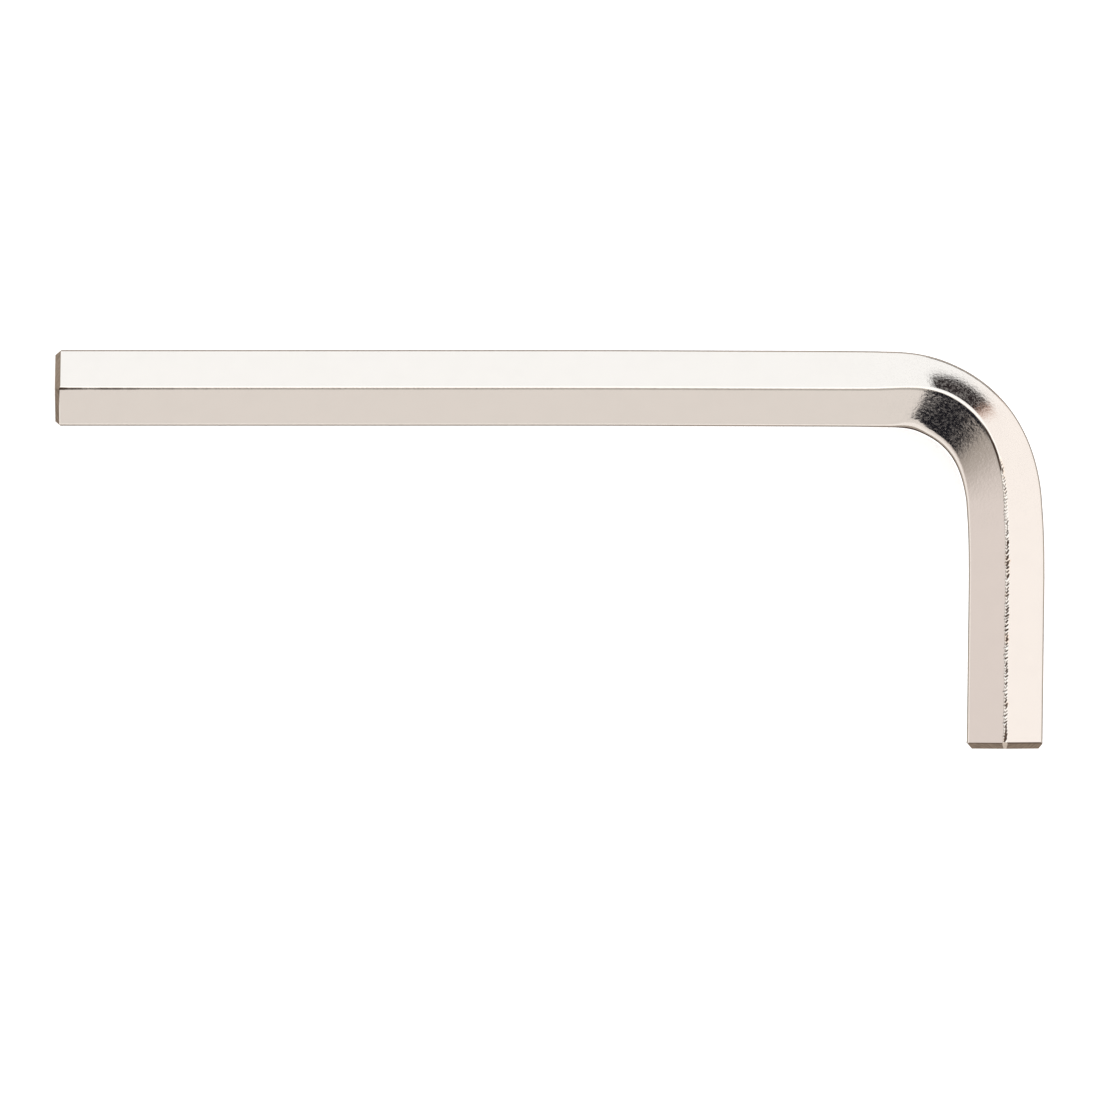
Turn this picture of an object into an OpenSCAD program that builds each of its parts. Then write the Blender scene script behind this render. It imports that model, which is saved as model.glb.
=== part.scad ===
// Bent hex key: one length of hexagon bar with a short arm and a long arm.
// The key lies on one edge of each arm, with the plane of the bend level.
// X runs along the long arm, its tip at -X. The short arm points to -Y.
// The origin is under the middle of the outline, on the resting plane.

/* [Hexagon] */
// Distance across two opposite flats
across_flats = 8; // [5:0.5:12]
// Radius along the six long edges
edge_radius = 0.5; // [0.1:0.05:1]

/* [Arms] */
// Long arm, from its tip to the outer side of the short arm
long_arm = 104; // [60:1:240]
// Short arm, from its tip to the outer side of the long arm
short_arm = 42; // [32:1:100]

/* [Bend] */
// Radius of the flat on the inside of the bend
inner_bend_radius = 8; // [4:0.5:14]

/* [Tips] */
// Length of each tip bevel along the arm
bevel_length = 0.6; // [0.3:0.05:2]
// Depth of each tip bevel below its flat
bevel_depth = 0.5; // [0.2:0.05:1.2]
// How far the turned cone takes back each corner of an end face
corner_trim = 0.15; // [0.1:0.05:0.4]

/* [Hidden] */

satin_nickel = [0.80, 0.78, 0.75];
// Facets of a full circle, on the long edges and round the bend
edge_facets = 48;
bend_facets = 180;

// The hexagon stands on a corner, so its flats face 0, 60, 120 and so on
flat_step = 60;
half_flats = across_flats / 2;
// Each arc is a hair over its tangent radius, so that it crosses its flats
arc_overlap = 0.002;
arc_radius = edge_radius + arc_overlap;
edge_centre = (half_flats - edge_radius) / cos(flat_step / 2);
half_corners = edge_centre + arc_radius;

axis_radius = inner_bend_radius + half_flats;
bend_outside = inner_bend_radius + across_flats;
long_straight = long_arm - bend_outside;
short_straight = short_arm - bend_outside;
bend_centre = [long_arm / 2 - bend_outside, short_arm / 2 - bend_outside, half_corners];

// Reach of the shaping solids past the bar, so that no two faces coincide
overshoot = 1;
bevel_slope = bevel_depth / bevel_length;
end_corner_radius = (half_flats - bevel_depth) / cos(flat_step / 2) - corner_trim;

// What rounding takes off the sharp corner that points along X
module corner_waste() {
    difference() {
        translate([edge_centre + edge_radius * cos(flat_step / 2), -edge_radius])
            square([overshoot, 2 * edge_radius]);
        translate([edge_centre, 0])
            circle(r = arc_radius, $fn = edge_facets);
    }
}

// Section of the bar: a hexagon with true arcs at its corners
module bar_section() {
    difference() {
        rotate(flat_step / 2)
            circle(r = half_flats / cos(flat_step / 2), $fn = 6);
        for (i = [0:5])
            rotate((i + 0.5) * flat_step)
                corner_waste();
    }
}

// Half outline of a tapered end that is radius wide where the arm stops
function taper(radius, length, width) = [
    [width, length - (width - radius) / bevel_slope],
    [radius - overshoot * bevel_slope, length + overshoot]
];

// Pair of opposite bevels: a roof-shaped slab across the arm
module bevel_pair(length) {
    right = taper(half_flats - bevel_depth, length, half_corners + overshoot);
    rotate([90, 0, 0])
        linear_extrude(2 * (half_corners + overshoot), center = true)
            polygon(concat(
                [[-right[0].x, -overshoot], [right[0].x, -overshoot]],
                right,
                [[-right[1].x, right[1].y], [-right[0].x, right[0].y]]
            ));
}

// Cone that trims the corners of the end face
module corner_cone(length) {
    rotate_extrude($fn = bend_facets)
        polygon(concat(
            [[0, -overshoot], [half_corners + overshoot, -overshoot]],
            taper(end_corner_radius, length, half_corners + overshoot),
            [[0, length + overshoot]]
        ));
}

// Straight arm that rises from the bend to its bevelled tip
module arm(length) {
    intersection() {
        linear_extrude(length) bar_section();
        intersection_for(i = [0:2])
            rotate([0, 0, i * flat_step]) bevel_pair(length);
        corner_cone(length);
    }
}

// Quarter turn that joins the arms, tangent to both
module bend() {
    rotate_extrude(angle = 90, $fn = bend_facets)
        translate([axis_radius, 0]) bar_section();
}

module hex_key() {
    color(satin_nickel)
        translate(bend_centre) {
            bend();
            translate([0, axis_radius, 0])
                rotate([90, 0, 90])
                    mirror([0, 0, 1]) arm(long_straight);
            translate([axis_radius, 0, 0])
                rotate([90, 0, 0]) arm(short_straight);
        }
}

hex_key();
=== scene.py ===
"""Bent hex key of satin nickel plate, lying on a pale floor under soft studio light."""

import math
import random

import bmesh
import bpy
from mathutils import Matrix, Vector


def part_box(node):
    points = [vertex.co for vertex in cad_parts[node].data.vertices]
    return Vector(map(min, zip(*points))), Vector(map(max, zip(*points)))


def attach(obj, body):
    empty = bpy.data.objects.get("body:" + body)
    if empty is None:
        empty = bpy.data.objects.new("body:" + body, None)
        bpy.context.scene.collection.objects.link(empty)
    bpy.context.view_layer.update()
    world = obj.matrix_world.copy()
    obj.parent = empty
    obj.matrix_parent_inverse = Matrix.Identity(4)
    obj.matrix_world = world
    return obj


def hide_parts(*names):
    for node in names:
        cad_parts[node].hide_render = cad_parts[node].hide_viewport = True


bl_info = {
    "name": "Bent Hex Key",
    "version": (1, 0, 0),
    "blender": (4, 5, 0),
    "location": "3D View > Sidebar > Hex Key",
    "description": "Makes a bent hex key of nickel plated steel and a plain studio for it",
    "category": "Add Mesh",
}

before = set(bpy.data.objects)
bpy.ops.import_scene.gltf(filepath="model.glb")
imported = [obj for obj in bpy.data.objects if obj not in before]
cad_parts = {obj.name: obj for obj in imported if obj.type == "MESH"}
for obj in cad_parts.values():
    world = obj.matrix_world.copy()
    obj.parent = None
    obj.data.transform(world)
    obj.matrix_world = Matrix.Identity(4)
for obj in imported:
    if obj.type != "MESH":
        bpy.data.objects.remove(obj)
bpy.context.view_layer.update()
LOW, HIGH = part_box("hex_key")
MM = 0.001
SIXTH = math.radians(60)
HALF_SIXTH = SIXTH / 2

# What bending did, along the bar: how far past the start or the end of the bend it is greatest,
# and how far it reaches before and after that
SECTION_CHANGE = (6.6 * MM, 3.6 * MM, 6.2 * MM)
START_SHIFT = (4.2 * MM, 3.5 * MM, 4 * MM)
END_SHIFT = (-2.7 * MM, 4.3 * MM, 3.2 * MM)
WIDE_START = (3.1 * MM, 1.5 * MM, 1.3 * MM)
SAG_BEFORE, SAG_AFTER = 35 * MM, 4 * MM

# Dark lines of painted shade and wear on the upper edge: distance outward of the edge, half width of the
# dull, dark core and half width of the whole line
LONG_LINE = (-0.1 * MM, 0, 0.25 * MM)
BEND_LINE = (-0.1 * MM, 0.03 * MM, 0.2 * MM)
LONG_DULL, LONG_TIP_DULL, BEND_DULL = 0.5, 0.3, 0.8

# The row of nicks stops short of the tip, and its first nicks are shallower than the rest
NICK_END, NICKS_DEEPEN = 0.7 * MM, 9 * MM
FIRST_NICKS = 0.65
# Random spread of the nicks: place across the edge, turn, and shares of their sizes and distances
NICK_ASIDE = (-0.02 * MM, 0.06 * MM)
NICK_TURN = (-0.3, 0.3)
NICK_LENGTHS = (0.7, 1.15)
NICK_WIDTHS = (0.75, 1.25)
NICK_DEPTHS = (0.55, 1.0)
NICK_PITCHES = (0.7, 1.3)
# How far wear and nicks are looked for, as shares of half the strip and half a nick
STRIP_REACH, NICK_REACH = 1.2, 3

# A tip's flats and corners are counted in steps of 30 degrees, from the outer side flat upward
FLATS = range(0, 12, 2)
OUTER_SIDE, UPPER_OUTER, UPPER_CORNER, UPPER_INNER, INNER_SIDE = 0, 2, 3, 4, 6
# What a face shows: plate, ground metal or the dull burr that grinding left, which is painted near black as
# shade along the short tip's edges
PLATE, GROUND, BURR_AND_SHADE = 0, 1, 2
# A cut at a tip leaves alone what is farther off than this share of the width across flats
TIP_REACH = 1.5
# Points that are closer than this are one point
TOUCHING = 0.0001 * MM
# Edges that turn by more than this are sharp in the shading
SHARP_ANGLE = math.radians(14)


def length(name, text, millimetres):
    """Property that holds a length."""
    return bpy.props.FloatProperty(
        name=name, description=text, default=millimetres * MM, unit="LENGTH", precision=5)


def angle(name, text, degrees):
    """Property that holds an angle."""
    return bpy.props.FloatProperty(
        name=name, description=text, default=math.radians(degrees), subtype="ANGLE")


def factor(name, text, value):
    """Property that holds a plain number."""
    return bpy.props.FloatProperty(name=name, description=text, default=value, precision=4)


def count(name, text, value):
    """Property that holds a whole number."""
    return bpy.props.IntProperty(name=name, description=text, default=value, min=1)


def shares(name, text, *values):
    """Property that holds one share for each flat of a tip, from the outer side flat upward."""
    return bpy.props.FloatVectorProperty(name=name, description=text, default=values, size=len(values))


def colour(name, text, *value):
    """Property that holds a colour, in linear values."""
    return bpy.props.FloatVectorProperty(
        name=name, description=text, default=value, subtype="COLOR", size=3, min=0, max=4)


class BarSizes(bpy.types.PropertyGroup):
    """Sizes of the hexagon bar and of what bending did to it."""
    across_flats: length("Across flats", "Distance across two opposite flats", 8)
    edge_radius: length("Edge radius", "Radius along the six long edges", 0.5)
    bent_radius: length("Bent edge radius", "Radius of the upper and lower edges in the bend", 0.7)
    inside_radius: length("Inside edge radius", "Radius of the edges on the inside of the bend", 1.35)
    start_radius: length("Start radius", "Extra radius of the inside edges where the bend starts", 0.85)
    inner_radius: length("Inner bend radius", "Radius of the flat inside the bend", 8)
    ridge_shift: length("Ridge shift", "How far bending pushed the upper and lower edges outward", 0.88)
    sag: length("Sag", "How far the long arm sags inward before the bend", 0.1)
    start_shift: length("Bend start shift", "How far the bend runs inside its true arc near its start", 0.17)
    end_shift: length("Bend end shift", "How far the bend runs inside its true arc near its end", 0.37)
    inner_crown: length("Inner crown", "How far the flats on the inside of the bend bulge", -0.02)
    outer_hollow: length("Outer hollow", "How far the flats on the outside of the bend sink", 0.1)
    inner_matte: factor("Inner matte", "How matte the inside of the bend is, beside the outside", 0.5)
    lean: angle("Lean", "How far the short arm leans inward", 0.7)
    lean_start: length("Lean start", "Distance below the bend where the lean starts", 8)


class TipSizes(bpy.types.PropertyGroup):
    """Sizes of the bevels at both tips."""
    bevel_length: length("Bevel length", "Length of a tip bevel along the arm", 0.6)
    bevel_depth: length("Bevel depth", "Depth of a tip bevel below its flat", 0.5)
    short_trim: length("Short trim", "How far the short tip is ground back", 0.08)
    long_shares: shares("Long tip", "Size of each bevel of the long tip", 1.1, 0.97, 0.77, 0.95, 0.9, 1)
    short_shares: shares("Short tip", "Size of each bevel of the short tip", 0.85, 1, 1, 1.1, 0.95, 1)
    ridge_trim: length("Ridge trim", "How far the short tip's upper corner is taken back", 0.09)
    soft_slope: angle("Soft slope", "Angle of the softened edge between a flat and its bevel", 20)
    bright_edge: length("Bright edge", "Width of the long tip's softened edge on the upper inner flat", 0.056)
    # The short tip's burr is painted near black: a dull burr with painted shade along the edges between flats
    # and bevels
    dark_edge: length("Dark edge", "Width of the short tip's dull burr along its bevels", 0.07)
    thin_edge: length("Thin edge", "Width of the same burr on the upper inner flat", 0.049)


class NickSizes(bpy.types.PropertyGroup):
    """Sizes of the row of small nicks on the short arm's upper edge."""
    lead: length("Lead", "Length of the row within the bend", 4.5)
    half_strip: length("Half strip", "Half the width of the strip that holds the nicks", 0.45)
    pitch: length("Pitch", "Mean distance between two nicks", 0.35)
    half_length: length("Half length", "Half the length of a nick", 0.27)
    steep_side: length("Steep side", "Width of a nick's steep side", 0.06)
    gentle_side: length("Gentle side", "Width of a nick's gentle side", 0.12)
    depth: length("Depth", "Depth of the deepest nicks", 0.12)
    # Rub and dark line: stain painted along the upper edge, as painted shade of the edge with some wear
    rub_and_shade: length("Rub", "Length of the dull line on the long arm's upper edge", 30)
    dark_line: length("Score", "Length of the dark line on the upper edge of the bend, before the nicks", 6)
    dark_line_end: length("Score end", "Length over which the dark line fades among the nicks", 2.5)
    slant: angle("Slant", "Angle between a nick and the arm", 42)
    seed: count("Seed", "Seed of the random spread", 7)


class MeshSizes(bpy.types.PropertyGroup):
    """How finely the bar is divided."""
    edge_steps: count("Edge steps", "Steps round each long edge", 18)
    flat_cuts: count("Flat cuts", "Cuts across each flat", 9)
    long_steps: count("Long arm steps", "Steps along the long arm", 60)
    bend_steps: count("Bend steps", "Steps round the bend", 96)
    short_steps: count("Short arm steps", "Steps along the short arm", 160)
    ridge_cuts: count("Ridge cuts", "Cuts in each step along the nicked upper edge", 3)


class FinishSizes(bpy.types.PropertyGroup):
    """Colours and grain of the nickel plate."""
    plate: colour("Plate", "Colour of the clean plate", 0.80, 0.765, 0.72)
    # Stain colour, which is also painted shade: it darkens the nicks' bottoms and the lines along the upper
    # edge
    stain: colour("Stain", "Colour of the dull plate in the nicks", 0.10, 0.07, 0.055)
    tinge: colour("Tinge", "Colour of the warm tinge beside the nicks", 0.80, 0.67, 0.56)
    ground: colour("Ground", "Colour of the ground bevels and end faces", 0.57, 0.50, 0.43)
    roughness: factor("Roughness", "Roughness of the plate", 0.09)
    grain: length("Grain", "Width of the waves in the plate", 0.28)
    grain_height: length("Grain height", "Height of the waves in the plate", 0.007)
    cloud: length("Cloud", "Width of the slow changes of colour and gloss", 2.2)
    streak: length("Streak", "Height of the level streaks that grinding left", 0.125)
    speck: length("Speck", "Distance between the plate's matte specks", 0.19)
    haze: factor("Haze", "How matte the specks of the bend are", 0.14)


class StudioSizes(bpy.types.PropertyGroup):
    """Camera, floor and light."""
    distance: length("Camera distance", "Height of the camera above the bar's axis", 2100)
    view_width: length("View width", "Width of the view at the bar's axis", 115.75)
    centre_y: length("View centre", "Where the middle of the view lies along Y", -0.04)
    floor_size: length("Floor size", "Length and width of the floor", 40000)
    floor_glow: factor("Floor glow", "Light of the floor itself, which keeps it white", 0.62)
    north: colour("Far panel", "Light from the long arm's outer side", 1.18, 1.20, 1.225)
    east: colour("Right panel", "Light from the short arm's outer side", 1.19, 1.13, 1.107)
    crest: colour("Crest", "Light from high over the far and right panels", 1.45, 1.43, 1.41)
    south: colour("Near panel", "Light from the long arm's inner side", 0.893, 0.842, 0.812)
    west: colour("Left panel", "Light from the short arm's inner side", 0.897, 0.817, 0.792)
    sill: colour("Sill", "Light from the lower rim of the near and left panels", 1.1, 1.05, 1.02)
    shade: colour("Shade", "Light from the upper rim of the near and left panels", 0.57, 0.535, 0.50)
    haze: colour("Haze", "Light from the soft end of the left panel", 0.47, 0.42, 0.385)
    inner_gap: colour("Inner gap", "Light from over the near and left panels", 0.012, 0.0115, 0.0165)
    outer_gap: colour("Outer gap", "Light from between the far and right panels", 0.03, 0.024, 0.026)
    ember: colour("Ember", "Light from the warm end of the outer gap", 0.72, 0.48, 0.39)
    table: colour("Table", "Light from just below the horizon", 0.565, 0.5, 0.445)
    near_table: colour("Near table", "The same on the inner side of the long arm", 0.44, 0.38, 0.335)
    dusk: colour("Dusk", "Light from well below the horizon", 0.02, 0.0, 0.0)
    glow: colour("Glow", "Light from straight below", 1.5, 1.5, 1.5)


def bell(position, centre, before, after):
    """Bell curve with a reach of its own on each side of its centre."""
    offset = position - centre
    return math.exp(-0.5 * (offset / (before if offset < 0 else after)) ** 2)


def ramp(value, low, high):
    """Smooth step from 0 at low to 1 at high."""
    share = min(max((value - low) / (high - low), 0), 1)
    return share * share * (3 - 2 * share)


class Route:
    """Centre line of the bar: along the long arm, round the bend and down the short arm."""

    def __init__(self, bar):
        reach = bar.inner_radius + bar.across_flats
        self.radius = bar.inner_radius + bar.across_flats / 2
        self.centre = Vector((HIGH.x - reach, HIGH.y - reach, (LOW.z + HIGH.z) / 2))
        self.bend_start = self.centre.x - LOW.x
        self.bend_end = self.bend_start + self.radius * math.radians(90)
        self.end = self.bend_end + self.centre.y - LOW.y

    def locate(self, point):
        """Distance along the route, and distance outward and upward from it."""
        offset = point - self.centre
        if offset.x <= 0:
            return self.bend_start + offset.x, offset.y - self.radius, offset.z
        if offset.y <= 0:
            return self.bend_end - offset.y, offset.x - self.radius, offset.z
        turned = self.radius * math.atan2(offset.x, offset.y)
        return self.bend_start + turned, offset.xy.length - self.radius, offset.z

    def place(self, along, outward, upward):
        """Point at these distances along the route and from it."""
        if along <= self.bend_start:
            offset = Vector((along - self.bend_start, self.radius + outward, upward))
        elif along >= self.bend_end:
            offset = Vector((self.radius + outward, self.bend_end - along, upward))
        else:
            turned = (along - self.bend_start) / self.radius
            reach = self.radius + outward
            offset = Vector((reach * math.sin(turned), reach * math.cos(turned), upward))
        return self.centre + offset


def rim(direction, half_flats, edge_radius):
    """Distance from the bar's axis to its surface in a direction of the section."""
    from_corner = abs(direction % SIXTH - HALF_SIXTH)
    edge_centre = (half_flats - edge_radius) / math.cos(HALF_SIXTH)
    tangent = Vector((edge_centre + edge_radius * math.cos(HALF_SIXTH), edge_radius * math.sin(HALF_SIXTH)))
    if from_corner < math.atan2(tangent.y, tangent.x):
        across = edge_centre * math.sin(from_corner)
        return edge_centre * math.cos(from_corner) + math.sqrt(edge_radius ** 2 - across ** 2)
    return half_flats / math.cos(HALF_SIXTH - from_corner)


def draw_section(mesh, bar, divisions, start):
    """Hexagon with rounded corners, square to the long arm at its tip."""
    half_flats = bar.across_flats / 2
    bmesh.ops.create_circle(mesh, cap_ends=True, segments=6, radius=half_flats / math.cos(HALF_SIXTH))
    corner = next(iter(mesh.verts)).co.copy()
    bmesh.ops.bevel(
        mesh, geom=mesh.verts[:], affect="VERTICES", offset=bar.inside_radius * math.tan(HALF_SIXTH),
        offset_type="OFFSET", segments=divisions.edge_steps, profile=0.5, material=-1)
    flats = [edge for edge in mesh.edges if edge.calc_length() > half_flats / 2]
    bmesh.ops.subdivide_edges(mesh, edges=flats, cuts=divisions.flat_cuts)
    bmesh.ops.delete(mesh, geom=mesh.faces[:], context="FACES_ONLY")
    # The circle lies in XY. Turned, its first corner points up and it faces along X.
    turn = Matrix.Rotation(math.atan2(corner.x, corner.y), 3, "Z")
    upright = Matrix(((0, 0, 1), (1, 0, 0), (0, 1, 0)))
    bmesh.ops.rotate(mesh, verts=mesh.verts[:], cent=(0, 0, 0), matrix=upright @ turn)
    bmesh.ops.translate(mesh, verts=mesh.verts[:], vec=start)


def run_straight(mesh, ring, travel, steps):
    """Extrudes a ring of edges straight, in steps, and returns the last ring."""
    made = bmesh.ops.extrude_edge_only(mesh, edges=ring)["geom"]
    far = [part for part in made if isinstance(part, bmesh.types.BMVert)]
    last = [part for part in made if isinstance(part, bmesh.types.BMEdge)]
    bmesh.ops.translate(mesh, verts=far, vec=travel)
    last = [edge for edge in last if all(vert in far for vert in edge.verts)]
    runs = [edge for vert in far for edge in vert.link_edges if edge not in last]
    bmesh.ops.subdivide_edges(mesh, edges=runs, cuts=steps - 1, use_grid_fill=True)
    return last


def run_bend(mesh, ring, centre, steps):
    """Turns a ring of edges a quarter turn to the right, in steps, and returns the last ring."""
    turned = bmesh.ops.spin(
        mesh, geom=ring, cent=centre, axis=(0, 0, -1), angle=math.radians(90), steps=steps)
    return [part for part in turned["geom_last"] if isinstance(part, bmesh.types.BMEdge)]


def route_shift(along, bar, route):
    """How far bending and leaning have moved the bar inward from its true route."""
    past_start = along - route.bend_start
    past_end = along - route.bend_end
    sagging = ramp(past_start, -SAG_BEFORE, 0) * (1 - ramp(past_start, 0, SAG_AFTER))
    return (
        bar.sag * sagging
        + bar.start_shift * bell(past_start, *START_SHIFT)
        + bar.end_shift * bell(past_end, *END_SHIFT)
        + max(past_end - bar.lean_start, 0) * math.tan(bar.lean)
    )


def bending(along, route):
    """Share of the section's distortion, from 0 on the arms to 1 in the bend."""
    return bell(along - route.bend_start, *SECTION_CHANGE)


def ridge_line(along, bar, route):
    """How far outward of the true route the upper edge lies."""
    return bending(along, route) * bar.ridge_shift - route_shift(along, bar, route)


def shape_bar(mesh, bar, route):
    """Moves the swept bar's surface to where bending has left it, and notes how matte it became."""
    matte = mesh.verts.layers.float["matte"]
    half_flats = bar.across_flats / 2
    shoulder = half_flats * math.tan(HALF_SIXTH)
    peak = route.centre.z - LOW.z
    for vert in mesh.verts:
        along, outward, upward = route.locate(vert.co)
        direction = math.atan2(upward, outward)
        bent = bending(along, route)
        vert[matte] = bent * (1 if outward > 0 else bar.inner_matte)
        radius = bar.edge_radius
        if abs(upward) > abs(outward) * math.tan(SIXTH):
            radius += bent * (bar.bent_radius - bar.edge_radius)
        elif outward < 0:
            radius += bent * (bar.inside_radius - bar.edge_radius)
            radius += bar.start_radius * bell(along - route.bend_start, *WIDE_START)
        reach = rim(direction, half_flats, radius)
        outward, upward = reach * math.cos(direction), reach * math.sin(direction)
        # 0 on the side flats, rising across each sloping flat to 1 on the upper and lower edges
        rise = min(max((abs(upward) - shoulder) / (peak - shoulder), 0), 1)
        crown = 4 * rise * (1 - rise)
        swell = -bar.outer_hollow if outward > 0 else bar.inner_crown
        side = math.copysign(math.sin(HALF_SIXTH), outward)
        above = math.copysign(math.cos(HALF_SIXTH), upward)
        outward += bent * (bar.ridge_shift * rise + swell * crown * side)
        upward += bent * swell * crown * above
        outward -= route_shift(along, bar, route)
        vert.co = route.place(along, outward, upward)


def refine_ridge(mesh, nicks, cuts, route):
    """Divides the short arm's upper edge finely enough for its nicks."""
    fine = set()
    for vert in mesh.verts:
        along, outward, upward = route.locate(vert.co)
        if along > route.bend_end - nicks.lead and upward > 0 and abs(outward) < nicks.half_strip:
            fine.add(vert)
    edges = [edge for edge in mesh.edges if fine.issuperset(edge.verts)]
    bmesh.ops.subdivide_edges(mesh, edges=edges, cuts=cuts, use_grid_fill=True)


def line_share(across, centre, core, edge):
    """Share of a dark line of painted shade and wear across its width: 1 in its core and 0 past its edge."""
    return 1 - ramp(abs(across - centre), core, edge)


def edge_wear_and_shade(along, across, nicks, first):
    """How dark the painted shade and wear along the upper edge are before its first nick: on the long arm and
    in the bend.
    """
    long_dull = LONG_DULL * (1 - ramp(along, 0, nicks.rub_and_shade))
    long_dull += LONG_TIP_DULL * (1 - ramp(along, 0, nicks.rub_and_shade / 5))
    bend_dull = BEND_DULL * ramp(along, first - nicks.dark_line, first - nicks.dark_line / 2)
    bend_dull *= 1 - ramp(along, first, first + nicks.dark_line_end)
    return long_dull * line_share(across, *LONG_LINE) + bend_dull * line_share(across, *BEND_LINE)


def spread_nicks(nicks, route, first):
    """Place, distance aside, slant, half length, width and depth of each nick in the row."""
    draw = random.Random(nicks.seed)
    dents = []
    place = first
    while place < route.end - NICK_END:
        strength = FIRST_NICKS + (1 - FIRST_NICKS) * ramp(place, first, route.bend_end + NICKS_DEEPEN)
        dents.append((
            place,
            draw.uniform(*NICK_ASIDE),
            nicks.slant + draw.uniform(*NICK_TURN),
            nicks.half_length * draw.uniform(*NICK_LENGTHS),
            draw.uniform(*NICK_WIDTHS),
            nicks.depth * strength * draw.uniform(*NICK_DEPTHS),
        ))
        place += nicks.pitch * draw.uniform(*NICK_PITCHES)
    return dents


def nick_sink(along, across, dents, nicks):
    """How deep the nicks go at a place on the upper edge."""
    sink = 0
    for place, aside, slant, half_length, width, depth in dents:
        if abs(along - place) > NICK_REACH * nicks.half_length:
            continue
        run = (along - place) * math.cos(slant) - (across - aside) * math.sin(slant)
        off = (along - place) * math.sin(slant) + (across - aside) * math.cos(slant)
        side = width * (nicks.steep_side if off < 0 else nicks.gentle_side)
        sink += depth * math.exp(-((run / half_length) ** 4) - (off / side) ** 2)
    return sink


def nick_ridge(mesh, bar, nicks, route):
    """Presses the slanted nicks into the short arm's upper edge, and notes their depth.

    Where the edge only has a dark line of painted shade and wear, that is noted as a negative depth.
    """
    nick_and_shade_layer = mesh.verts.layers.float["nick_depth"]
    first = route.bend_end - nicks.lead
    dents = spread_nicks(nicks, route, first)
    for vert in mesh.verts:
        along, outward, upward = route.locate(vert.co)
        across = outward - ridge_line(along, bar, route)
        if upward < 0 or abs(across) > STRIP_REACH * nicks.half_strip:
            continue
        sink = nick_sink(along, across, dents, nicks)
        vert.co.z -= sink
        wear_and_shade = edge_wear_and_shade(along, across, nicks, first)
        vert[nick_and_shade_layer] = -wear_and_shade if wear_and_shade > sink / nicks.depth else sink / nicks.depth


def cut_off(mesh, point, normal, reach, finish):
    """Cuts away what lies beyond a plane, within reach of its point, and closes the cut."""
    ground = mesh.faces.layers.float["ground"]
    near = [vert for vert in mesh.verts if (vert.co - point).length < reach]
    chosen = set(near)
    parts = [part for kind in (mesh.edges, mesh.faces) for part in kind if chosen.issuperset(part.verts)]
    bmesh.ops.bisect_plane(
        mesh, geom=near + parts, dist=TOUCHING, plane_co=point, plane_no=normal, clear_outer=True)
    open_edges = [edge for edge in mesh.edges if edge.is_boundary]
    for face in bmesh.ops.holes_fill(mesh, edges=open_edges, sides=0)["faces"]:
        face[ground] = finish


def tip_facing(index, outward):
    """Direction in which a flat or a corner of a tip faces."""
    direction = index * HALF_SIXTH
    return outward * math.cos(direction) + Vector((0, 0, math.sin(direction)))


def bevel_tip(mesh, bar, tip, end, axis, outward, sizes, trims):
    """Grinds the six bevels of a tip and takes some of its corners back."""
    half_flats = bar.across_flats / 2
    corner = (half_flats - tip.bevel_depth) / math.cos(HALF_SIXTH)
    for index in [*FLATS, *trims]:
        facing = tip_facing(index, outward)
        slope = facing * tip.bevel_length + axis * tip.bevel_depth
        if index in FLATS:
            on_face = half_flats - tip.bevel_depth * sizes[index // 2]
        else:
            on_face = corner - trims[index]
        cut_off(mesh, end + facing * on_face, slope.normalized(), TIP_REACH * bar.across_flats, GROUND)


def soften_tip(mesh, bar, tip, end, axis, outward, sizes, widths, finish):
    """Cuts narrow softened edges of these widths between some flats of a tip and their bevels."""
    for index, width in widths.items():
        facing = tip_facing(index, outward)
        slope = facing * math.cos(tip.soft_slope) + axis * math.sin(tip.soft_slope)
        back = tip.bevel_length * sizes[index // 2] + width
        point = end + facing * bar.across_flats / 2 - axis * back
        cut_off(mesh, point, slope, TIP_REACH * bar.across_flats, finish)


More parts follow.
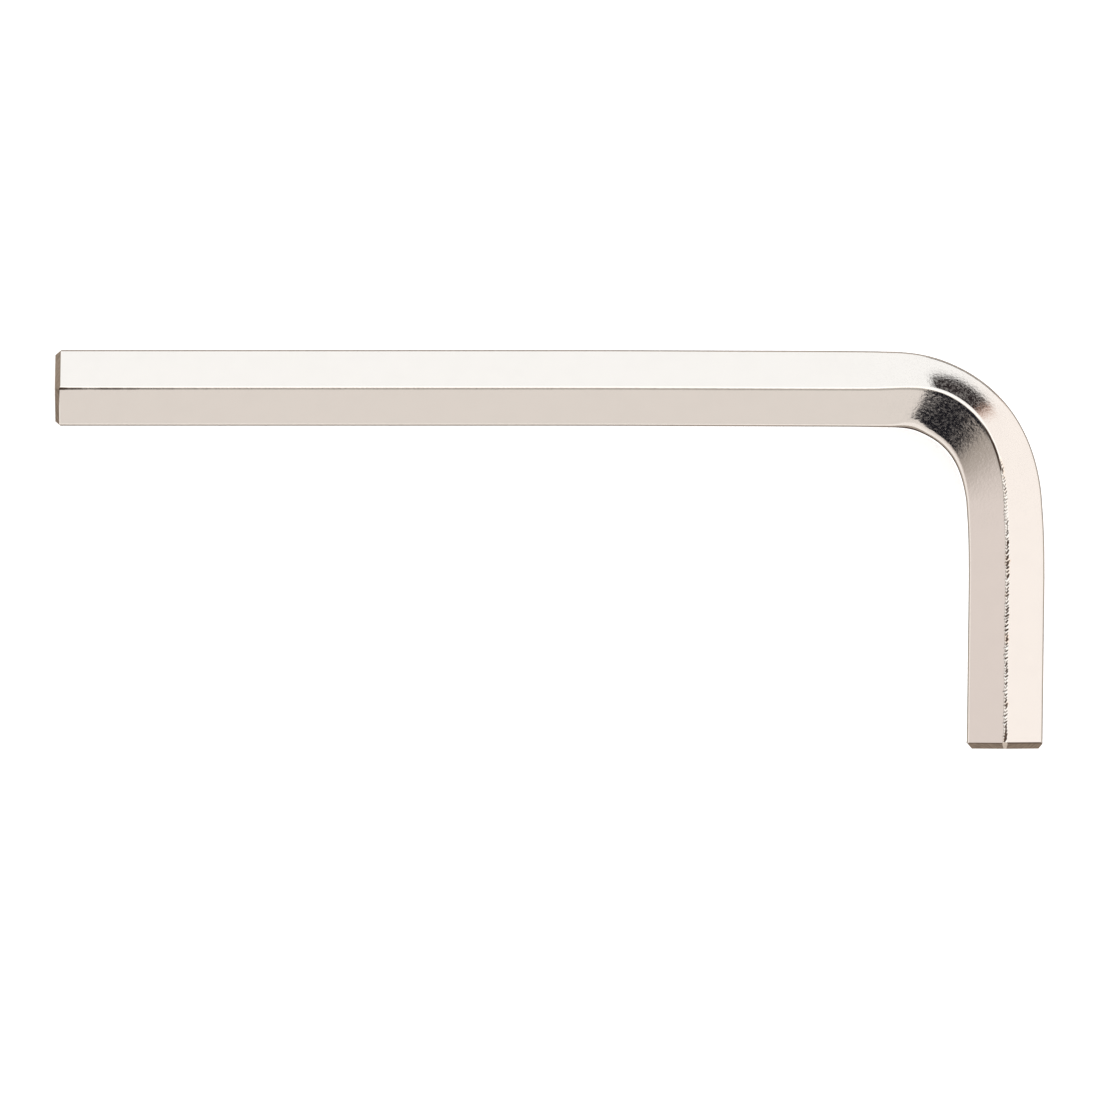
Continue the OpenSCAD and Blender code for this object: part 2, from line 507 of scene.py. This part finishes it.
def make_bar(context):
    """The bent bar, as one closed mesh in place."""
    scene = context.scene
    bar, tip, nicks = scene.key_bar, scene.key_tips, scene.key_nicks
    divisions = scene.key_mesh
    route = Route(bar)
    long_tip = Vector((LOW.x, route.centre.y + route.radius, route.centre.z))
    short_end = LOW.y + tip.short_trim

    mesh = bmesh.new()
    draw_section(mesh, bar, divisions, long_tip)
    ring = run_straight(mesh, mesh.edges[:], (route.centre.x - LOW.x, 0, 0), divisions.long_steps)
    ring = run_bend(mesh, ring, route.centre, divisions.bend_steps)
    run_straight(mesh, ring, (0, short_end - route.centre.y, 0), divisions.short_steps)
    bmesh.ops.remove_doubles(mesh, verts=mesh.verts[:], dist=TOUCHING)
    ground = mesh.faces.layers.float.new("ground")
    open_edges = [edge for edge in mesh.edges if edge.is_boundary]
    for face in bmesh.ops.holes_fill(mesh, edges=open_edges, sides=0)["faces"]:
        face[ground] = GROUND
    bmesh.ops.recalc_face_normals(mesh, faces=mesh.faces[:])

    mesh.verts.layers.float.new("nick_depth")
    mesh.verts.layers.float.new("matte")
    refine_ridge(mesh, nicks, divisions.ridge_cuts, route)
    shape_bar(mesh, bar, route)
    nick_ridge(mesh, bar, nicks, route)

    place = (long_tip, Vector((-1, 0, 0)), Vector((0, 1, 0)), tip.long_shares)
    bevel_tip(mesh, bar, tip, *place, {})
    soften_tip(mesh, bar, tip, *place, {UPPER_INNER: tip.bright_edge}, PLATE)
    short_tip = Vector((route.centre.x + route.radius, short_end, route.centre.z))
    short_tip.x += ridge_line(route.end, bar, route)
    place = (short_tip, Vector((0, -1, 0)), Vector((1, 0, 0)), tip.short_shares)
    bevel_tip(mesh, bar, tip, *place, {UPPER_CORNER: tip.ridge_trim})
    # The short tip's softened edges take the burr finish: near black, as painted shade along the bevels
    burr = {side: tip.dark_edge for side in (OUTER_SIDE, UPPER_OUTER, UPPER_INNER, INNER_SIDE)}
    burr[UPPER_INNER] = tip.thin_edge
    soften_tip(mesh, bar, tip, *place, burr, BURR_AND_SHADE)

    for face in mesh.faces:
        face.smooth = True
    for edge in mesh.edges:
        edge.smooth = not (len(edge.link_faces) == 2 and edge.calc_face_angle() > SHARP_ANGLE)
    data = bpy.data.meshes.new("bent_bar")
    mesh.to_mesh(data)
    mesh.free()
    return data


class Nodes:
    """Short way to lay out shader nodes in one tree."""

    def __init__(self, tree):
        self.tree = tree
        tree.nodes.clear()

    def add(self, kind, inputs=(), **settings):
        """Adds a node with settings. Inputs are values or the sockets that feed them."""
        node = self.tree.nodes.new(kind)
        for name, value in settings.items():
            setattr(node, name, value)
        for name, value in dict(inputs).items():
            socket = node.inputs[name]
            if isinstance(value, bpy.types.NodeSocket):
                self.tree.links.new(value, socket)
            else:
                socket.default_value = value
        return node

    def math(self, operation, first, second=0.0, third=0.0):
        """Result of a Math node."""
        inputs = {0: first, 1: second, 2: third}
        return self.add("ShaderNodeMath", inputs, operation=operation).outputs[0]

    def step(self, value, low, high):
        """Smooth step of a value from 0 at low to 1 at high."""
        inputs = {"Value": value, "From Min": low, "From Max": high, "To Min": 0.0, "To Max": 1.0}
        node = self.add("ShaderNodeMapRange", inputs, interpolation_type="SMOOTHSTEP")
        return node.outputs["Result"]

    def window(self, value, low, high, soft):
        """1 between low and high, and 0 outside, with soft edges."""
        rise = self.step(value, low - soft, low + soft)
        fall = self.step(value, high + soft, high - soft)
        return self.math("MULTIPLY", rise, fall)

    def mix(self, share, first, second):
        """Mix of two colours."""
        node = self.add("ShaderNodeMix", data_type="RGBA")
        for socket, value in ((0, share), (6, first), (7, second)):
            if isinstance(value, bpy.types.NodeSocket):
                self.tree.links.new(value, node.inputs[socket])
            else:
                node.inputs[socket].default_value = value
        return node.outputs[2]


def opaque(values):
    """Colour with an alpha of 1."""
    return (*values, 1.0)


class WearAndPaintedShade:
    """Where the plate's marks, painted shade in the nicks among them, start and end, in values of the noise
    or the depth that makes them.
    """
    specks = (0.3, 1)
    shade = (0.35, 0.75)
    streaks = (0.35, 0.65)
    # Stain and painted shade come with depth, times a share of the cloud that makes them patchy
    cloud_share, even_share = 2.0, 0.05
    stain = (0.15, 0.7)
    # The warm tinge has two borders in depth, and how soft they are
    tinge_depth = (0.06, 0.3, 0.05)
    tinge_cloud = (0.5, 0.65)
    # Light that the darker parts of the plate and of the ground faces keep
    plate_light, streak_light = 0.985, 0.75
    # Roughness that the shade, the specks and the stain, which is also painted shade, add
    shade_roughness, speck_roughness, stain_roughness = 0.02, 0.05, 0.25


def noise(nodes, place, width, detail, roughness):
    """Smooth noise with waves of this width."""
    inputs = {"Vector": place, "Scale": 1 / width, "Detail": detail, "Roughness": roughness}
    return nodes.add("ShaderNodeTexNoise", inputs).outputs["Fac"]


def dimmed(values, share):
    """Colour that keeps this share of its light."""
    return [share * part for part in values]


def paint_ground(nodes, place, finish):
    """Colour of the ground bevels and end faces, with the level streaks that grinding left."""
    scale = (1 / MM, 1 / MM, 1 / finish.streak)
    level = nodes.add("ShaderNodeMapping", {"Vector": place, "Scale": scale}).outputs["Vector"]
    streaks = noise(nodes, level, 1.0, 3.0, 0.6)
    return nodes.mix(
        nodes.step(streaks, *WearAndPaintedShade.streaks), opaque(finish.ground),
        opaque(dimmed(finish.ground, WearAndPaintedShade.streak_light)))


def make_plate(context):
    """Satin nickel plate: fine specks, slow changes of gloss, and dull stain with painted shade in the nicks
    and along the upper edge.
    """
    finish = context.scene.key_finish
    material = bpy.data.materials.new("satin_nickel_plate")
    material.use_nodes = True
    nodes = Nodes(material.node_tree)
    place = nodes.add("ShaderNodeTexCoord").outputs["Object"]
    grain = noise(nodes, place, finish.grain, 1.0, 0.5)
    cloud = noise(nodes, place, finish.cloud, 4.0, 0.6)
    cells = nodes.add("ShaderNodeTexVoronoi", {"Vector": place, "Scale": 1 / finish.speck})
    spread = nodes.add("ShaderNodeSeparateColor", {"Color": cells.outputs["Color"]}).outputs[0]
    specks = nodes.step(spread, *WearAndPaintedShade.specks)
    nick, ground, matte = (
        nodes.add("ShaderNodeAttribute", attribute_name=name).outputs["Fac"]
        for name in ("nick_depth", "ground", "matte"))

    # Stain and painted shade fill the nicks' bottoms and the dark lines along the upper edge in patches, and
    # shallow nicks have a warm tinge
    patchy = nodes.math("MULTIPLY_ADD", cloud, WearAndPaintedShade.cloud_share, WearAndPaintedShade.even_share)
    dull = nodes.step(nodes.math("MULTIPLY", nodes.math("ABSOLUTE", nick), patchy), *WearAndPaintedShade.stain)
    shallow = nodes.window(nick, *WearAndPaintedShade.tinge_depth)
    warm = nodes.math("MULTIPLY", shallow, nodes.step(cloud, *WearAndPaintedShade.tinge_cloud))
    fresh = nodes.step(ground, PLATE, GROUND)
    dull = nodes.math("MULTIPLY", dull, nodes.math("SUBTRACT", 1.0, fresh))
    # Burr faces take the stain colour in full: painted shade along the short tip's edges
    dull = nodes.math("MAXIMUM", dull, nodes.step(ground, GROUND, BURR_AND_SHADE))

    shade = nodes.step(cloud, *WearAndPaintedShade.shade)
    tint = nodes.mix(shade, opaque(finish.plate), opaque(dimmed(finish.plate, WearAndPaintedShade.plate_light)))
    tint = nodes.mix(fresh, tint, paint_ground(nodes, place, finish))
    tint = nodes.mix(warm, tint, opaque(finish.tinge))
    # The nicks' bottoms and the lines along the upper edge are painted near black: painted shade with some
    # stain
    tint = nodes.mix(dull, tint, opaque(finish.stain))
    gloss = nodes.math(
        "MULTIPLY_ADD", shade, WearAndPaintedShade.shade_roughness, finish.roughness - WearAndPaintedShade.shade_roughness / 2)
    gloss = nodes.math("MULTIPLY_ADD", specks, WearAndPaintedShade.speck_roughness, gloss)
    gloss = nodes.math("MULTIPLY_ADD", dull, WearAndPaintedShade.stain_roughness, gloss)
    # The stretched and squeezed flats of the bend are full of matte specks
    metal = nodes.math("MULTIPLY_ADD", nodes.math("MULTIPLY", specks, matte), -finish.haze, 1.0)
    bump = nodes.add(
        "ShaderNodeBump", {"Height": grain, "Strength": 1.0, "Distance": finish.grain_height})
    shader = nodes.add(
        "ShaderNodeBsdfPrincipled",
        {"Base Color": tint, "Metallic": metal, "Roughness": gloss, "Normal": bump.outputs["Normal"]})
    nodes.add("ShaderNodeOutputMaterial", {"Surface": shader.outputs["BSDF"]})
    return material


def make_floor(context):
    """Plain pale floor."""
    studio = context.scene.key_studio
    mesh = bmesh.new()
    bmesh.ops.create_grid(mesh, x_segments=1, y_segments=1, size=studio.floor_size / 2)
    data = bpy.data.meshes.new("floor")
    mesh.to_mesh(data)
    mesh.free()
    material = bpy.data.materials.new("pale_floor")
    material.use_nodes = True
    nodes = Nodes(material.node_tree)
    shader = nodes.add("ShaderNodeBsdfPrincipled", {
        "Base Color": (0.85, 0.85, 0.85, 1), "Roughness": 0.9, "Specular IOR Level": 0.0,
        "Emission Color": (1, 1, 1, 1), "Emission Strength": studio.floor_glow})
    nodes.add("ShaderNodeOutputMaterial", {"Surface": shader.outputs["BSDF"]})
    data.materials.append(material)
    floor = bpy.data.objects.new("floor", data)
    # The plate mirrors the studio, not the floor
    floor.visible_glossy = False
    return floor


class Borders:
    """Where the studio's panels end: bearings from +X and heights above the horizon, in degrees.

    A pair is where a soft border starts and ends. Three values are two borders and how soft they are.
    """
    right_to_far = (30, 70)
    bright_side = (-45, 135, 15)
    near_panel = (-130, 0, 20)
    crest_foot = (50, 60)
    shade_heights = (45, 83, 3)
    sill_top = (28, 20)
    haze_start, haze_end, haze_foot = (-184, -154), (-110, -130), (30.5, 36)

    outer_start, outer_end, outer_heights = (34, 44), (78, 74), (1, 18.7, 3)
    warm_end = (48, 38)

    inner_start, inner_end, inner_heights = (-94.8, -98.8), (-158, -141), (35.5, 78, 1.3)
    # The inner gap reaches farther above a height, and its lower rim is higher at that end
    upper_end, upper_foot = (-161, -147), (46, 52)
    rim_climb, rim_rise = (-128, -137), 2.5

    near_table = (-160, -25, 8)
    horizon = (3, -2)
    dusk_top = (-26, -42)
    glow_top = (-50, -62)


def paint_panels(nodes, studio, bearing, height):
    """Light of the bright panels and of the dim ones, as two colours."""
    far = nodes.step(bearing, *Borders.right_to_far)
    bright = nodes.mix(far, opaque(studio.east), opaque(studio.north))
    bright = nodes.mix(nodes.step(height, *Borders.crest_foot), bright, opaque(studio.crest))

    near = nodes.window(bearing, *Borders.near_panel)
    dim = nodes.mix(near, opaque(studio.west), opaque(studio.south))
    haze = nodes.math(
        "MULTIPLY", nodes.step(bearing, *Borders.haze_start), nodes.step(bearing, *Borders.haze_end))
    haze = nodes.math("MULTIPLY", haze, nodes.step(height, *Borders.haze_foot))
    dim = nodes.mix(haze, dim, opaque(studio.haze))
    dim = nodes.mix(nodes.step(height, *Borders.sill_top), dim, opaque(studio.sill))
    dim = nodes.mix(nodes.window(height, *Borders.shade_heights), dim, opaque(studio.shade))
    return bright, dim


def find_gaps(nodes, bearing, height):
    """Shares of the outer and of the inner gap between the panels."""
    outer = nodes.math(
        "MULTIPLY", nodes.step(bearing, *Borders.outer_start), nodes.step(bearing, *Borders.outer_end))
    outer = nodes.math("MULTIPLY", outer, nodes.window(height, *Borders.outer_heights))
    upper = nodes.math(
        "MULTIPLY", nodes.step(bearing, *Borders.upper_end), nodes.step(height, *Borders.upper_foot))
    end = nodes.math("MAXIMUM", nodes.step(bearing, *Borders.inner_end), upper)
    inner = nodes.math("MULTIPLY", nodes.step(bearing, *Borders.inner_start), end)
    sunk = nodes.math(
        "MULTIPLY_ADD", nodes.step(bearing, *Borders.rim_climb), -Borders.rim_rise, height)
    inner = nodes.math("MULTIPLY", inner, nodes.window(sunk, *Borders.inner_heights))
    return outer, inner


def make_world(context):
    """Studio of soft panels round the bar, painted by direction."""
    studio = context.scene.key_studio
    world = bpy.data.worlds.new("studio")
    world.use_nodes = True
    nodes = Nodes(world.node_tree)
    toward = nodes.add("ShaderNodeTexCoord").outputs["Generated"]
    parts = nodes.add("ShaderNodeSeparateXYZ", {"Vector": toward}).outputs
    bearing = nodes.math("DEGREES", nodes.math("ARCTAN2", parts["Y"], parts["X"]))
    height = nodes.math("DEGREES", nodes.math("ARCSINE", parts["Z"]))

    bright, dim = paint_panels(nodes, studio, bearing, height)
    dim_side = nodes.math("SUBTRACT", 1.0, nodes.window(bearing, *Borders.bright_side))
    light = nodes.mix(dim_side, bright, dim)
    outer, inner = find_gaps(nodes, bearing, height)
    warm_end = nodes.step(bearing, *Borders.warm_end)
    light = nodes.mix(outer, light, nodes.mix(warm_end, opaque(studio.outer_gap), opaque(studio.ember)))
    light = nodes.mix(inner, light, opaque(studio.inner_gap))

    near_table = nodes.window(bearing, *Borders.near_table)
    below = nodes.mix(near_table, opaque(studio.table), opaque(studio.near_table))
    below = nodes.mix(nodes.step(height, *Borders.dusk_top), below, opaque(studio.dusk))
    light = nodes.mix(nodes.step(height, *Borders.horizon), light, below)
    light = nodes.mix(nodes.step(height, *Borders.glow_top), light, opaque(studio.glow))
    background = nodes.add("ShaderNodeBackground", {"Color": light, "Strength": 1.0})
    nodes.add("ShaderNodeOutputWorld", {"Surface": background.outputs["Background"]})
    return world


def make_camera(context):
    """Camera that looks straight down, as in the photo."""
    studio = context.scene.key_studio
    data = bpy.data.cameras.new("camera")
    data.lens = data.sensor_width * studio.distance / studio.view_width
    data.clip_end = 100
    camera = bpy.data.objects.new("camera", data)
    axis_height = (LOW.z + HIGH.z) / 2
    camera.location = (0, studio.centre_y, axis_height + studio.distance)
    return camera


class KEY_OT_bar(bpy.types.Operator):
    """Make the bent hexagon bar with its bevelled tips"""
    bl_idname = "key.make_bar"
    bl_label = "Bent bar"

    def execute(self, context):
        bar = bpy.data.objects.new("bent_bar", make_bar(context))
        bar.data.materials.append(make_plate(context))
        context.scene.collection.objects.link(bar)
        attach(bar, "root")
        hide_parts("hex_key")
        return {"FINISHED"}


class KEY_OT_stage(bpy.types.Operator):
    """Make the floor, the light and the camera"""
    bl_idname = "key.make_stage"
    bl_label = "Studio"

    def execute(self, context):
        scene = context.scene
        floor = make_floor(context)
        camera = make_camera(context)
        scene.collection.objects.link(floor)
        scene.collection.objects.link(camera)
        scene.world = make_world(context)
        scene.camera = camera
        scene.view_settings.view_transform = "Standard"
        return {"FINISHED"}


class KEY_PT_panel(bpy.types.Panel):
    """Lists the sizes and the pieces of the hex key"""
    bl_idname = "KEY_PT_panel"
    bl_label = "Hex Key"
    bl_space_type = "VIEW_3D"
    bl_region_type = "UI"
    bl_category = "Hex Key"

    def draw(self, context):
        for operator in OPERATORS:
            self.layout.operator(operator.bl_idname)
        for name, (group, title) in GROUPS.items():
            box = self.layout.box()
            box.label(text=title)
            for key in group.__annotations__:
                box.prop(getattr(context.scene, name), key)


GROUPS = {
    "key_bar": (BarSizes, "Bar"),
    "key_tips": (TipSizes, "Tips"),
    "key_nicks": (NickSizes, "Nicks"),
    "key_mesh": (MeshSizes, "Mesh"),
    "key_finish": (FinishSizes, "Finish"),
    "key_studio": (StudioSizes, "Studio"),
}
OPERATORS = (KEY_OT_bar, KEY_OT_stage)


def register():
    for name, (group, title) in GROUPS.items():
        bpy.utils.register_class(group)
        setattr(bpy.types.Scene, name, bpy.props.PointerProperty(type=group, name=title))
    for cls in (*OPERATORS, KEY_PT_panel):
        bpy.utils.register_class(cls)


def unregister():
    for cls in (KEY_PT_panel, *reversed(OPERATORS)):
        bpy.utils.unregister_class(cls)
    for name, (group, title) in reversed(GROUPS.items()):
        delattr(bpy.types.Scene, name)
        bpy.utils.unregister_class(group)


def main():
    register()
    bpy.ops.key.make_bar()
    bpy.ops.key.make_stage()


if __name__ == "__main__":
    main()
